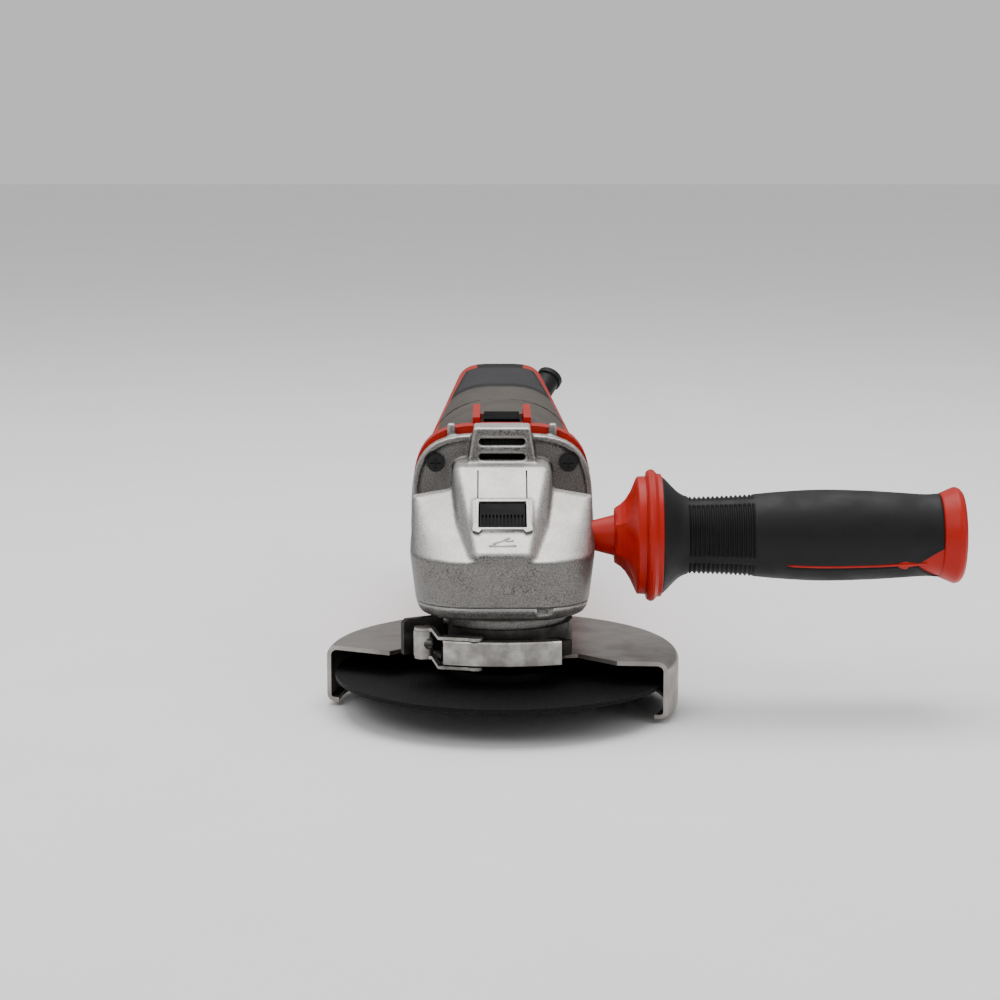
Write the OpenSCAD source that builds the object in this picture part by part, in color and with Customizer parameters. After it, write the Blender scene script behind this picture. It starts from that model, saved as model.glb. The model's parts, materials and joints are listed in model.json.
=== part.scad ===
// Corded angle grinder with quick-release guard, cutting disc and side handle.
// The origin is the tip of the spindle: +Z up the spindle, +Y back along the motor.

/* [Spindle and wheel] */
// Diameter of the wheel
wheel_d = 125; // [100:1:150]
// Thickness of the wheel
wheel_t = 1.6; // [1:0.1:3]
// Diameter of the spindle thread
spindle_d = 14; // [12:0.5:14.5]
// Free length of thread below the clamping nut
tip_free = 3; // [1:0.5:6]
// Height of the clamping nut
nut_h = 9.7; // [8:0.1:12]
// Diameter of the inner flange and of the clamping nut
flange_d = 42; // [34:1:43]
// Height of the inner flange
flange_h = 7.7; // [6.5:0.1:9.5]

/* [Gear head] */
// Width of the gear head
head_w = 68.2; // [64:0.2:82]
// From the spindle to the front wall of the head
head_front = 33; // [32:0.5:40]
// From the spindle to the face that meets the motor housing
head_back = 41; // [41:0.5:50]
// From the foot of the head up to the motor axis
axis_rise = 20.7; // [20.7:0.1:25]
// Half the width of the raised nose
nose_x = 18.9; // [17:0.1:20]
// Slope of the nose, in degrees
nose_slope = 27.5; // [24:0.5:29]
// Height of the nose above the motor axis, at the rear end of the button
nose_rise = 14.1; // [13.5:0.1:17]
// Diameter of the neck that carries the guard
neck_d = 48; // [44:0.5:58]
// Length of the neck
neck_h = 14.9; // [14.5:0.1:18]
// Height of the handle sockets above the motor axis
socket_rise = 0.8; // [0:0.1:1.5]
// Diameter of the handle thread
handle_thread = 8; // [6:0.5:10]
// Depth of each handle socket
socket_depth = 9.5; // [7:0.5:10]

/* [Bevel gears] */
// Teeth on the pinion
pinion_teeth = 12; // [10:1:14]
// Teeth on the ring gear
ring_teeth = 37; // [36:1:44]
// Outer radius of the pitch cone on the ring gear
ring_r = 20.5; // [18:0.1:20.8]

/* [Motor housing] */
// Width of the motor housing
body_w = 66; // [65:0.5:80]
// Height of the housing above the motor axis
body_top = 34; // [34:0.5:41]
// Depth of the housing below the motor axis
body_bottom = 34; // [34:0.5:41]
// Where the motor housing ends and the rear handle begins
body_split = 140; // [138:1:170]
// Diameter of the stator
stator_d = 59; // [50:0.5:60]
// Diameter of the armature
armature_d = 31.8; // [26:0.2:32]
// Length of the armature and stator stacks
stack_len = 42; // [35:1:44]
// Wall of the plastic housings
wall = 2.6; // [2.2:0.1:3.2]
// Thickness of the soft grips
grip_t = 1.5; // [1:0.1:1.8]

/* [Rear handle] */
// Length of the rear handle
handle_len = 128; // [108:1:154]
// Width of the rear end of the handle
rear_w = 43; // [40:0.5:52]
// Underside of the rear end, measured up from the spindle tip
rear_low = 46; // [40:0.5:50]
// Bore of the cord gland
gland_bore = 7.4; // [6:0.1:8]

/* [Guard] */
// Gap from the wheel's rim to the skirt of the guard
guard_gap = 2; // [1.5:0.1:5]
// Thickness of the guard sheet
sheet_t = 1.6; // [1.2:0.1:2]
// Height of the guard skirt
skirt_h = 21.5; // [16:0.5:22]
// Thickness of the clamping band
band_t = 2.1; // [1.6:0.1:2.6]

/* [Side handle] */
// Radius of the widest flange of the side handle
handle_flange_r = 24.7; // [22:0.1:30]
// Radius of the side grip at its thickest
grip_r = 17; // [14.5:0.1:20]
// Length of the side handle from the gear head to its end
side_len = 137; // [115:0.5:165]

/* [Clearances] */
// Radial clearance of parts that turn or slide in each other
running = 0.08; // [0.03:0.01:0.1]

/* [Hidden] */
$fn = 64;

// heights up the spindle
disc_z = tip_free + nut_h;
seat_z = disc_z + wheel_t;
shoulder_z = seat_z + flange_h;
neck_z = shoulder_z + 2;
plate_z = neck_z + neck_h;
plate_h = 5.4;
head_z = plate_z + plate_h;
axis_z = head_z + axis_rise;
socket_z = axis_z + socket_rise;
bearing_w = 11;
bearing_r = 17.5;
bearing_z = head_z + 1 - bearing_w;
seat_r = 7.5;
hub_r = 6;
tip_r = 4;
needle_r = 6;

// stations along the motor axis
flange_y = head_back - 7;
shaft_r = 6;
front_bearing_y = head_back - 11;
front_bearing_w = 8;
front_bearing_r = 14;
ring_end = head_back + 9;
fan_y = ring_end + 2;
stack_y = fan_y + 24;
stack_end = stack_y + stack_len;
commutator_y = stack_end + 7;
rear_bearing_y = stack_end + 27;
spigot_r = stator_d / 2 - 1;
rod_top = axis_z + stator_d / 2 + 1.8;
handle_end = body_split + handle_len;
switch_y = body_split + 46;
screw_x = 25.4;
screw_rise = 23;

// flange, ring and body outlines
flange_x = head_w / 2 + 0.8;
ring_x = flange_x - 0.2;
flange_up = body_top - 0.2;
flange_down = body_bottom - 0.5;
nose_z = axis_z + nose_rise;
nose_rear = 15;
nose_top = nose_z + (nose_rear + 5) * tan(nose_slope);
vent_top = nose_top + 13.4;

// lock button
button_x = 8.6;
button_y0 = -20;
button_y1 = -6;
pocket_z = axis_z - 0.2;
lock_y = -10.3;
lock_r = 2;
lock_travel = 4;

// bevel gears: both cones meet at the crossing of the two axes
cone = atan(ring_teeth / pinion_teeth);
cone_len = ring_r / sin(cone);
module_size = 2 * ring_r / ring_teeth;
tip_angle = atan(0.85 * module_size / cone_len);
root_angle = atan(1.2 * module_size / cone_len);
gear_inner_r = ring_r * 0.64;
web_top = axis_z - 7;

// guard and clamp, seen along the spindle
guard_r = wheel_d / 2 + guard_gap + sheet_t;
guard_z = neck_z - 0.7;
collar_r = neck_d / 2 + running;
band_r = collar_r + band_t;
band_z = guard_z + 1.1;
band_top = guard_z + 11.6;
foot_screw = [20.8, 19.8];
tab_angle = -151;
tab_len = 15.8;
clamp_out = band_r - 26.2;
lever_r = 70;
lever_x = 21.6;
lever_z = shoulder_z + 0.7;
lever_h = 9.2;
lever_cy = 36.8 - clamp_out;
pivot = [-20, lever_cy - 62.15];
link_pin = [-10, lever_cy - 66.25];
barrel = [-29 - clamp_out * 0.5, -25.5 - clamp_out];
barrel_r = 3.6;
barrel_h = 9.2;
barrel_top = lever_z + lever_h + 3.3;
bolt_z = barrel_top - barrel_h / 2;
pin_r = 1.4;

// side handle
handle_x = head_w / 2;

function arc(x, y, r, a0, a1, n = 8) =
  [for (i = [0:n]) [x + r * cos(a0 + (a1 - a0) * i / n), y + r * sin(a0 + (a1 - a0) * i / n)]];

// rectangle |x| <= x from y0 to y1 with front corners r0 and rear corners r1
function plan(x, y0, y1, r0, r1) = concat(
  arc(x - r1, y1 - r1, r1, 0, 90), arc(r1 - x, y1 - r1, r1, 90, 180),
  arc(r0 - x, y0 + r0, r0, 180, 270, 14), arc(x - r0, y0 + r0, r0, 270, 360, 14));

function power(t, n) = sign(t) * pow(abs(t), 2 / n);

// superellipse of half-width w around height zc, reaching down to zb and up to zt
function oval(w, zb, zc, zt, n, steps = 48) =
  [for (i = [0:steps - 1]) let (a = 360 * (i + 0.5) / steps, s = sin(a))
    [w * power(cos(a), n), zc + (s > 0 ? zt - zc : zc - zb) * power(s, n)]];

// star polygon of a gear: n teeth between the root and tip radii
function star(n, root, tip) =
  [for (i = [0:n - 1], p = [[-0.27, root], [-0.11, tip], [0.11, tip], [0.27, root]])
    [p[1] * cos((i + p[0]) * 360 / n), p[1] * sin((i + p[0]) * 360 / n)]];

module slab(y, t, points) {
  translate([0, y + t, 0]) rotate([90, 0, 0]) linear_extrude(t) polygon(points);
}

module rod_y(r, y0, y1, x = 0, z = axis_z) {
  translate([x, y1, z]) rotate([90, 0, 0]) cylinder(r = r, h = y1 - y0);
}

module ring_y(r, bore, y0, y1) {
  difference() {
    rod_y(r, y0, y1);
    rod_y(bore, y0 - 1, y1 + 1);
  }
}

module rod_z(r, z0, z1, at = [0, 0]) {
  translate([at[0], at[1], z0]) cylinder(r = r, h = z1 - z0);
}

module block(x0, x1, y0, y1, z0, z1) {
  translate([x0, y0, z0]) cube([x1 - x0, y1 - y0, z1 - z0]);
}

// wedge of directions between two angles, as a tall prism
module sector(a0, a1, r, z0, z1) {
  translate([0, 0, z0]) linear_extrude(z1 - z0) polygon(concat([[0, 0]], arc(0, 0, r, a0, a1, 12)));
}

// cross-head screw along +Y with its head at the front
module screw_y(x, y, z, len, r, head_r, head_h) {
  difference() {
    union() {
      rod_y(r, y, y + len, x, z);
      rod_y(head_r, y - head_h, y, x, z);
    }
    for (a = [0, 90])
      translate([x, y - head_h, z]) rotate([0, a, 0])
        cube([head_r * 1.2, 1.6, 0.7], center = true);
  }
}

// ---- gear head ----

module head_block() {
  hull() {
    translate([0, 0, head_z]) linear_extrude(0.5)
      polygon(plan(head_w / 2 - 2.1, -head_front + 1.4, flange_y, 20, 4));
    translate([0, 0, axis_z - 4.4]) linear_extrude(1)
      polygon(plan(head_w / 2, -head_front, flange_y, 23, 4));
    translate([0, 0, axis_z + 12.8]) linear_extrude(1)
      polygon(plan(head_w / 2 - 0.4, 8, 15, 4, 2));
    translate([0, 0, axis_z + 14.8]) linear_extrude(1)
      polygon(plan(nose_x + 1, 11, 18, 3, 2));
    translate([0, 0, axis_z + 7]) linear_extrude(1)
      polygon(plan(head_w / 2, 4, flange_y, 4, 2));
  }
}

// raised nose with rounded upper edges, narrower at the front than at the back
module nose() {
  r0 = 3;
  r1 = 4;
  front_z = nose_z - (head_front - r0 - 5) * tan(nose_slope) - r0 / cos(nose_slope);
  hull() {
    for (s = [-1, 1]) {
      translate([s * (nose_x - 10.5), r0 - head_front, front_z]) sphere(r0, $fn = 24);
      for (y = [nose_rear, flange_y + 1])
        translate([s * (nose_x - r1), y, nose_top - r1]) sphere(r1, $fn = 24);
    }
    translate([0, 0, axis_z - 6]) linear_extrude(1)
      polygon([[4 - nose_x, r0 - head_front], [nose_x - 4, r0 - head_front],
        [nose_x, nose_rear], [nose_x, flange_y], [-nose_x, flange_y], [-nose_x, nose_rear]]);
  }
}

module vent_box() {
  hull() {
    block(-12.8, 12.8, nose_rear + 6.4, head_back - 3, nose_top - 3, nose_top + 0.5);
    block(-10.7, 10.7, nose_rear + 8.6, head_back - 3, vent_top - 1, vent_top);
  }
}

module vent_duct() {
  block(-8.7, 8.7, nose_rear + 10.5, head_back + 1, nose_top + 0.4, vent_top - 1.6);
  for (z = [1.1, 6.7])
    block(-8.7, 8.7, nose_rear - 1, nose_rear + 12, nose_top + z, nose_top + z + 2.4);
}

module flange_plate() {
  difference() {
    slab(flange_y, head_back - flange_y,
      oval(flange_x, axis_z - flange_down, axis_z, axis_z + flange_up, 3.7));
    slab(flange_y - 1, 2.2,
      oval(flange_x - 2, axis_z - flange_down + 2, axis_z, axis_z + flange_up - 2, 3.7));
  }
  for (x = [-19.5, 19.5])
    block(x - 1.5, x + 1.5, flange_y + 3, head_back, nose_top, axis_z + body_top + 3.5);
}

// raised frame round the lock button, lying on the slope of the nose
module button_frame() {
  translate([0, -5, nose_z]) rotate([nose_slope, 0, 0])
    block(-10.9, 10.9, -17, 1, -2, 0.9);
}

module panel_grooves() {
  for (x = [-9.2, 9.2])
    translate([x, -5, nose_z]) rotate([nose_slope, 0, 0])
      block(-0.5, 0.5, 2.5, (nose_rear + 3) / cos(nose_slope), -0.7, 2);
}

// room for the ring gear, the pinion and the front bearing
module gear_cavity() {
  translate([0, 0, head_z - 1]) rotate_extrude()
    polygon([[0, 0], [22.5, 0], [22.5, axis_rise - 1.7], [12.6, axis_rise - 1.7],
      [12.6, axis_rise - 4.4], [0, axis_rise - 4.4]]);
  rod_y(9.5, 11.3, front_bearing_y + 1);
  rod_y(front_bearing_r, front_bearing_y, head_back + 1);
  rod_y(20.2, head_back - 3, head_back + 1);
  rod_z(needle_r, axis_z - 6, axis_z + 12);
}

module gear_housing() {
  color("#C9C7C5") difference() {
    union() {
      head_block();
      nose();
      vent_box();
      flange_plate();
      button_frame();
    }
    gear_cavity();
    vent_duct();
    panel_grooves();
    block(-button_x - 0.1, button_x + 0.1, button_y0, button_y1, pocket_z, nose_z + 5);
    rod_z(lock_r + running, axis_z - 8, axis_z, [0, lock_y]);
    rod_z(3.2, axis_z - 3.8, axis_z + 1, [0, lock_y]);
    for (s = [-1, 1]) {
      translate([s * (handle_x + 1), 0, socket_z]) rotate([0, -s * 90, 0])
        cylinder(d = handle_thread, h = socket_depth + 1);
      for (z = [-screw_rise, screw_rise]) {
        rod_y(2.6, flange_y - 1, head_back + 1, s * screw_x, axis_z + z);
        rod_y(4.4, flange_y - 6, flange_y + 1.2, s * screw_x, axis_z + z);
      }
      for (y = [-foot_screw[1], foot_screw[1]])
        rod_z(1.9, head_z - 1, head_z + 12, [s * foot_screw[0], y]);
    }
  }
}

module gear_housing_screws() {
  color("#17181A") for (x = [-screw_x, screw_x], z = [-screw_rise, screw_rise])
    screw_y(x, flange_y + 1.2, axis_z + z, 17, 2.1, 3.4, 2.6);
}

module bearing_plate() {
  color("#C4C2C0") difference() {
    union() {
      hull() {
        for (step = [[0, 4.4], [1.3, 1.9], [3.3, 0.7], [plate_h - 0.5, 0.2]])
          translate([0, 0, plate_z + step[0]]) linear_extrude(0.5)
            polygon(plan(head_w / 2 - 2.1 - step[1], -head_front + 1.4 + step[1], 31 - step[1],
              20 - step[1] / 2, 15 - step[1] / 2));
      }
      rod_z(neck_d / 2, neck_z, plate_z + 2);
    }
    rod_z(bearing_r, bearing_z, head_z + 1);
    rod_z(13.2, neck_z - 1, head_z);
    block(12.5, 18.5, -head_front, -head_front + 3.6, head_z - 2.6, head_z + 1);
    for (x = [-1, 1], y = [-1, 1]) {
      rod_z(2.3, plate_z, head_z + 1, [x * foot_screw[0], y * foot_screw[1]]);
      rod_z(3.7, plate_z - 1, plate_z + 3, [x * foot_screw[0], y * foot_screw[1]]);
    }
  }
}

module bearing_plate_screws() {
  color("#8E8F90") for (x = [-1, 1], y = [-1, 1])
    translate([x * foot_screw[0], y * foot_screw[1], plate_z]) {
      rod_z(1.85, 2.4, plate_h + 9);
      difference() {
        rod_z(3.4, 0.4, 3);
        for (a = [0, 90]) translate([0, 0, 0.4]) rotate(a) cube([4, 0.7, 1.6], center = true);
      }
    }
}

module needle_sleeve() {
  color("#A9ABAD") difference() {
    rod_z(needle_r, axis_z + 1.5, axis_z + 11.5);
    rod_z(tip_r + running, axis_z, axis_z + 13);
  }
}

module spindle_bearing_outer() {
  color("#B9BBBD") difference() {
    rod_z(bearing_r, bearing_z, bearing_z + bearing_w);
    rod_z(15.2, bearing_z - 1, bearing_z + bearing_w + 1);
  }
}

module spindle_bearing_inner() {
  color("#B9BBBD") difference() {
    rod_z(10.1, bearing_z, bearing_z + bearing_w);
    rod_z(seat_r, bearing_z - 1, bearing_z + bearing_w + 1);
  }
  color("#D5D7D9") for (a = [0:45:315])
    rotate(a) translate([12.55, 0, bearing_z + bearing_w / 2]) sphere(2.55, $fn = 24);
}

module spindle() {
  color("#8D9093") {
    rod_z(spindle_d / 2, 0, tip_free);
    rod_z(spindle_d / 2 - 1, tip_free, tip_free + 0.8);
    rod_z(spindle_d / 2, tip_free + 0.8, shoulder_z);
    rod_z(8.6, shoulder_z, bearing_z);
    rod_z(seat_r, bearing_z, head_z + 2.6);
    rod_z(hub_r, head_z + 2.6, web_top + 1.5);
    rod_z(tip_r, web_top + 1.5, axis_z + 11);
  }
}

// teeth of a bevel gear whose apex is the origin, cut between two cone distances
module bevel_teeth(teeth, angle, low, high) {
  translate([0, 0, -low]) linear_extrude(low - high, scale = high / low)
    polygon(star(teeth, low * tan(angle - root_angle), low * tan(angle + tip_angle)));
}

module ring_gear() {
  base = ring_r / tan(cone - root_angle) + 0.2;
  color("#6F7275") difference() {
    union() {
      intersection() {
        translate([0, 0, axis_z]) rotate(90 + 180 / ring_teeth)
          bevel_teeth(ring_teeth, cone, base, base * 0.3);
        rod_z(ring_r, axis_z - 12, axis_z);
      }
      rod_z(ring_r, axis_z - base - 3.5, axis_z - base);
      rod_z(10, head_z + 2.6, axis_z - base - 3);
    }
    rod_z(hub_r, head_z, axis_z);
    rod_z(gear_inner_r, web_top, axis_z);
    for (a = [0:90:270]) rotate(a) rod_z(lock_r + 0.4, axis_z - base - 5, axis_z, [0, lock_y]);
  }
}

module inner_flange() {
  color("#101112") difference() {
    union() {
      rod_z(flange_d / 2, seat_z, seat_z + 2.6);
      translate([0, 0, seat_z + 2.6])
        cylinder(r1 = flange_d / 2, r2 = flange_d / 2 - 4.5, h = flange_h - 3.4);
      rod_z(12, seat_z, shoulder_z);
    }
    rod_z(spindle_d / 2, seat_z - 1, shoulder_z + 1);
  }
}

module cutting_disc() {
  color("#131213") difference() {
    rod_z(wheel_d / 2, disc_z, seat_z);
    rod_z(spindle_d / 2 + 0.1, disc_z - 1, seat_z + 1);
  }
}

module clamping_nut() {
  color("#0F1011") difference() {
    union() {
      rod_z(flange_d / 2, disc_z - 5.5, disc_z);
      translate([0, 0, tip_free])
        cylinder(r1 = flange_d / 2 - 5, r2 = flange_d / 2 - 1, h = nut_h - 5.5);
    }
    rod_z(spindle_d / 2, 0, disc_z + 1);
    for (a = [45:90:315]) rotate(a) rod_z(2.6, tip_free - 1, tip_free + 4.5, [flange_d / 2 - 8.5, 0]);
  }
}

// ---- spindle lock ----

module lock_button() {
  x = button_x - 0.25;
  color("#1A1B1D") intersection() {
    difference() {
      block(-x, x, button_y0 + 0.3, button_y1 - 0.3, pocket_z + lock_travel + 0.4, nose_z + 3);
      rod_z(lock_r, axis_z, axis_z + 8, [0, lock_y]);
    }
    translate([0, -5, nose_z]) rotate([nose_slope, 0, 0])
      difference() {
        block(-x, x, -20, 2, -12, 0.6);
        for (i = [0:11]) block(-7.6 + i * 1.32, -7 + i * 1.32, -15.6, -8.5, -0.2, 2);
      }
  }
}

module lock_pin() {
  color("#9FA1A3") rod_z(lock_r, web_top + 0.6, axis_z + 8, [0, lock_y]);
}

module lock_spring() {
  color("#85878A") for (i = [0:4])
    translate([0, lock_y, axis_z - 3.5 + i * 1.75])
      rotate_extrude($fn = 32) translate([2.65, 0]) circle(0.3, $fn = 8);
}

// ---- guard ----

// outline of the guard's top: past the rear rim, then the two front lobes
function guard_plan() = concat(
  arc(0, 0, guard_r * 1.2, -20, 173, 24),
  [[-42, -8], [-37, -3]], arc(0, 0, collar_r + 2.4, 186, 332, 16), [[28, -12], [42, -25]]);

// section of the guard: [radius, height] round its top, its bent edge, its skirt and its lip
function guard_section(skirt_z) = concat(
  [[collar_r - 1.4, guard_z - sheet_t], [collar_r - 1.4, guard_z]],
  arc(guard_r - 4, guard_z - 4, 4, 90, 0), arc(guard_r - 2.6, skirt_z + 2.6, 2.6, 0, -90, 4),
  [[guard_r - 4.6, skirt_z], [guard_r - 4.6, skirt_z + sheet_t]],
  arc(guard_r - 2.6, skirt_z + 2.6, 2.6 - sheet_t, -90, 0, 4),
  arc(guard_r - 4, guard_z - 4, 4 - sheet_t, 0, 90));

module guard_shell() {
  skirt_z = guard_z - skirt_h;
  color("#B5B0AC") intersection() {
    rotate_extrude() polygon(guard_section(skirt_z));
    translate([0, 0, skirt_z - 1]) linear_extrude(skirt_h + 2) polygon(guard_plan());
  }
}

module guard_collar() {
  pivot_angle = atan2(pivot[1], pivot[0]);
  lug_z = lever_z + 1.8;
  lug_h = lever_h - 3.8;
  tab_in = band_r - 0.6;
  tab_out = band_r + tab_len;
  color("#3A3735") {
    difference() {
      union() {
        rod_z(band_r, guard_z, band_top);
        rod_z(collar_r + 2.2, guard_z, guard_z + 1.2);
      }
      rod_z(collar_r, guard_z - 1, band_top + 1);
      sector(tab_angle + 4, pivot_angle - 7, 60, guard_z - 1, band_top + 1);
    }
    difference() {
      rotate(tab_angle) translate([0, 1.2, 0]) rotate([90, 0, 0]) linear_extrude(2.4)
        polygon([[tab_in, band_z + 0.6], [tab_out, band_z + 0.6], [tab_out, plate_z - 2.2],
          [tab_out - 1.5, plate_z - 0.7], [tab_in, plate_z - 0.7]]);
      translate([0, 0, bolt_z]) rotate([0, 0, tab_angle])
        translate([band_r + 8, -3, 0]) rotate([-90, 0, 0]) cylinder(r = 2.4, h = 6);
    }
    rotate(-42) block(band_r - 0.6, band_r + 6, -2.4, 2.4, guard_z + 1.5, guard_z + 7);
    difference() {
      union() {
        rotate(pivot_angle) block(band_r - 0.6, norm(pivot), -2, 2, lug_z + 0.4, lug_z + lug_h - 0.4);
        rod_z(2.6, lug_z, lug_z + lug_h, pivot);
      }
      rod_z(pin_r + running, lug_z - 1, lug_z + lug_h + 1, pivot);
    }
  }
}

module clamp_screw() {
  color("#8E8F90") translate([0, 0, bolt_z]) rotate(tab_angle)
    translate([band_r + 8, 0, 0]) rotate([-90, 0, 0]) {
      translate([0, 0, -4.2]) difference() {
        cylinder(r = 3.4, h = 3);
        translate([0, 0, -0.5]) cylinder(r = 1.6, h = 2.2, $fn = 6);
      }
      translate([0, 0, -1.2]) cylinder(r = 2.1, h = 3);
    }
}

// curved channel: a bowed front plate with two flanges that carry the pins
module clamp_lever() {
  span = asin(lever_x / lever_r);
  color("#C2BFBC") {
    translate([0, lever_cy, lever_z]) rotate(270 - span) rotate_extrude(angle = 2 * span)
      polygon([[lever_r, 0.5], [lever_r, lever_h - 0.5], [lever_r - 0.5, lever_h],
        [lever_r - 4.6, lever_h], [lever_r - 4.6, lever_h - 1.3], [lever_r - 1.4, lever_h - 1.3],
        [lever_r - 1.4, 1.3], [lever_r - 4.6, 1.3], [lever_r - 4.6, 0], [lever_r - 0.5, 0]]);
    for (z = [0.1, lever_h - 1.2]) rod_z(2.7, lever_z + z, lever_z + z + 1.1, pivot);
    rod_z(pin_r, lever_z + 0.2, lever_z + lever_h - 0.2, pivot);
    rod_z(pin_r, lever_z - 1.7, lever_z + lever_h + 1.5, link_pin);
  }
}

// one arm of the link: at z0 by the link pin, bent to z1 by the barrel
module link_arm(reach, z0, z1, t) {
  rod_z(3, z0, z0 + t);
  block(0, reach - 6, -2.2, 2.2, z0, z0 + t);
  hull() {
    block(reach - 6.1, reach - 6, -2.2, 2.2, z0, z0 + t);
    block(reach - 3.7, reach - 3.6, -2.2, 2.2, z1, z1 + t);
  }
  block(reach - 3.7, reach, -2.2, 2.2, z1, z1 + t);
  rod_z(3.3, z1, z1 + t, [reach, 0]);
}

module clamp_link() {
  way = barrel - link_pin;
  t = 1.1;
  color("#AFACA9") difference() {
    translate([link_pin[0], link_pin[1], 0]) rotate(atan2(way[1], way[0])) {
      link_arm(norm(way), lever_z + lever_h + 0.3, barrel_top, t);
      link_arm(norm(way), lever_z - 0.3 - t, barrel_top - barrel_h - t, t);
    }
    rod_z(pin_r + running, lever_z - 5, lever_z + lever_h + 5, link_pin);
  }
}

module clamp_barrel() {
  color("#C2BFBC") difference() {
    rod_z(barrel_r, barrel_top - barrel_h, barrel_top, barrel);
    translate([barrel[0], barrel[1], bolt_z]) rotate(tab_angle + 12) rotate([-90, 0, 0])
      cylinder(r = 2.1, h = 20, center = true);
  }
}

// ---- motor ----

module armature_shaft() {
  color("#8D9093") {
    rod_y(2.9, 13.4, front_bearing_y);
    rod_y(shaft_r, front_bearing_y, front_bearing_y + front_bearing_w);
    rod_y(5, front_bearing_y + front_bearing_w, commutator_y + 18);
    rod_y(4, commutator_y + 18, rear_bearing_y + 8);
  }
}

module pinion_gear() {
  large = cone_len * cos(90 - cone);
  color("#6F7275") difference() {
    union() {
      translate([0, 0, axis_z]) rotate([90, 0, 0]) rotate(-90)
        bevel_teeth(pinion_teeth, 90 - cone, large, large * 0.65);
      rod_y(4.5, large - 0.5, front_bearing_y);
    }
    rod_y(2.9, 0, front_bearing_y + 1);
  }
}

module front_bearing_inner() {
  color("#B9BBBD") ring_y(8.6, shaft_r, front_bearing_y, front_bearing_y + front_bearing_w);
  color("#D5D7D9") for (a = [0:45:315])
    translate([0, front_bearing_y + front_bearing_w / 2, axis_z]) rotate([0, a, 0])
      translate([10.4, 0, 0]) sphere(1.85, $fn = 24);
}

module front_bearing_outer() {
  color("#B9BBBD")
    ring_y(front_bearing_r, 12.3, front_bearing_y, front_bearing_y + front_bearing_w);
}

module bearing_retainer() {
  color("#9B9DA0") ring_y(20, 10.5, front_bearing_y + front_bearing_w, head_back - 0.6);
}

module armature_core() {
  color("#75777A") difference() {
    rod_y(armature_d / 2, stack_y, stack_end);
    rod_y(5, stack_y - 1, stack_end + 1);
    for (a = [0:30:330])
      translate([0, 0, axis_z]) rotate([0, a, 0])
        block(armature_d / 2 - 1.4, armature_d / 2 + 1, stack_y - 1, stack_end + 1, -0.9, 0.9);
  }
}

module armature_windings() {
  color("#A4622E") {
    ring_y(armature_d / 2 - 2.4, 5, stack_y - 7, stack_y);
    ring_y(armature_d / 2 - 2.4, 5, stack_end, stack_end + 5.5);
  }
}

module commutator() {
  color("#B8763A") difference() {
    ring_y(11, 5, commutator_y, commutator_y + 15);
    for (a = [0:15:345])
      translate([0, 0, axis_z]) rotate([0, a, 0])
        block(10.2, 12, commutator_y - 1, commutator_y + 12, -0.25, 0.25);
  }
}

module cooling_fan() {
  color("#2B2C2E") {
    ring_y(9, 5, fan_y, fan_y + 10);
    ring_y(27.5, 5, fan_y + 8, fan_y + 10);
    for (a = [0:30:330])
      translate([0, 0, axis_z]) rotate([0, a, 0]) block(8.5, 27, fan_y, fan_y + 8.2, -0.7, 0.7);
  }
}

module rear_bearing_inner() {
  color("#B9BBBD") ring_y(6, 4, rear_bearing_y, rear_bearing_y + 7);
  color("#D5D7D9") for (a = [0:60:300])
    translate([0, rear_bearing_y + 3.5, axis_z]) rotate([0, a, 0])
      translate([7.6, 0, 0]) sphere(1.5, $fn = 24);
}

module rear_bearing_outer() {
  color("#B9BBBD") ring_y(11, 9.2, rear_bearing_y, rear_bearing_y + 7);
}

// rubber cup round the rear bearing
module rear_bearing_cap() {
  color("#202123") difference() {
    rod_y(12.6, rear_bearing_y - 0.6, rear_bearing_y + 10);
    rod_y(11, rear_bearing_y - 1, rear_bearing_y + 7);
    rod_y(8.8, rear_bearing_y, rear_bearing_y + 8.6);
  }
}

module stator_core() {
  color("#77797C") ring_y(stator_d / 2, armature_d / 2 + 0.6, stack_y, stack_end);
}

module stator_windings() {
  color("#A4622E") for (s = [-1, 1], y = [[stack_y - 9, stack_y], [stack_end, stack_end + 9]])
    intersection() {
      ring_y(stator_d / 2 - 2.5, armature_d / 2 + 2.4, y[0], y[1]);
      block(-40, 40, y[0], y[1], axis_z + (s > 0 ? 7 : -40), axis_z + (s > 0 ? 40 : -7));
    }
}

// ring that leads the fan's air forward, between the fan and the stator
module air_baffle() {
  color("#3A3B3D") ring_y(stator_d / 2, 22, fan_y + 11, fan_y + 13);
}

module motor_outer(inset) {
  slab(ring_end - 1, body_split - ring_end + 1, oval(body_w / 2 - inset, axis_z - body_bottom + inset,
    axis_z, axis_z + body_top - inset, 2.35));
}

// slot for the switch rod, open upward to the slider as far as y2
module rod_channel(y0, y1, y2) {
  block(-2.6, 2.6, y0, y1, rod_top - 4, rod_top + 0.3);
  block(-3.2, 3.2, y0, y2, rod_top - 1, axis_z + body_top - 1.3);
}

// the soft grip lies in this zone on top of the motor housing
module front_grip_zone(inset) {
  translate([0, 0, axis_z + 6]) linear_extrude(60)
    polygon(plan(25 - inset, ring_end + 5 + inset, body_split - 3 - inset, 6, 3));
}

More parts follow.
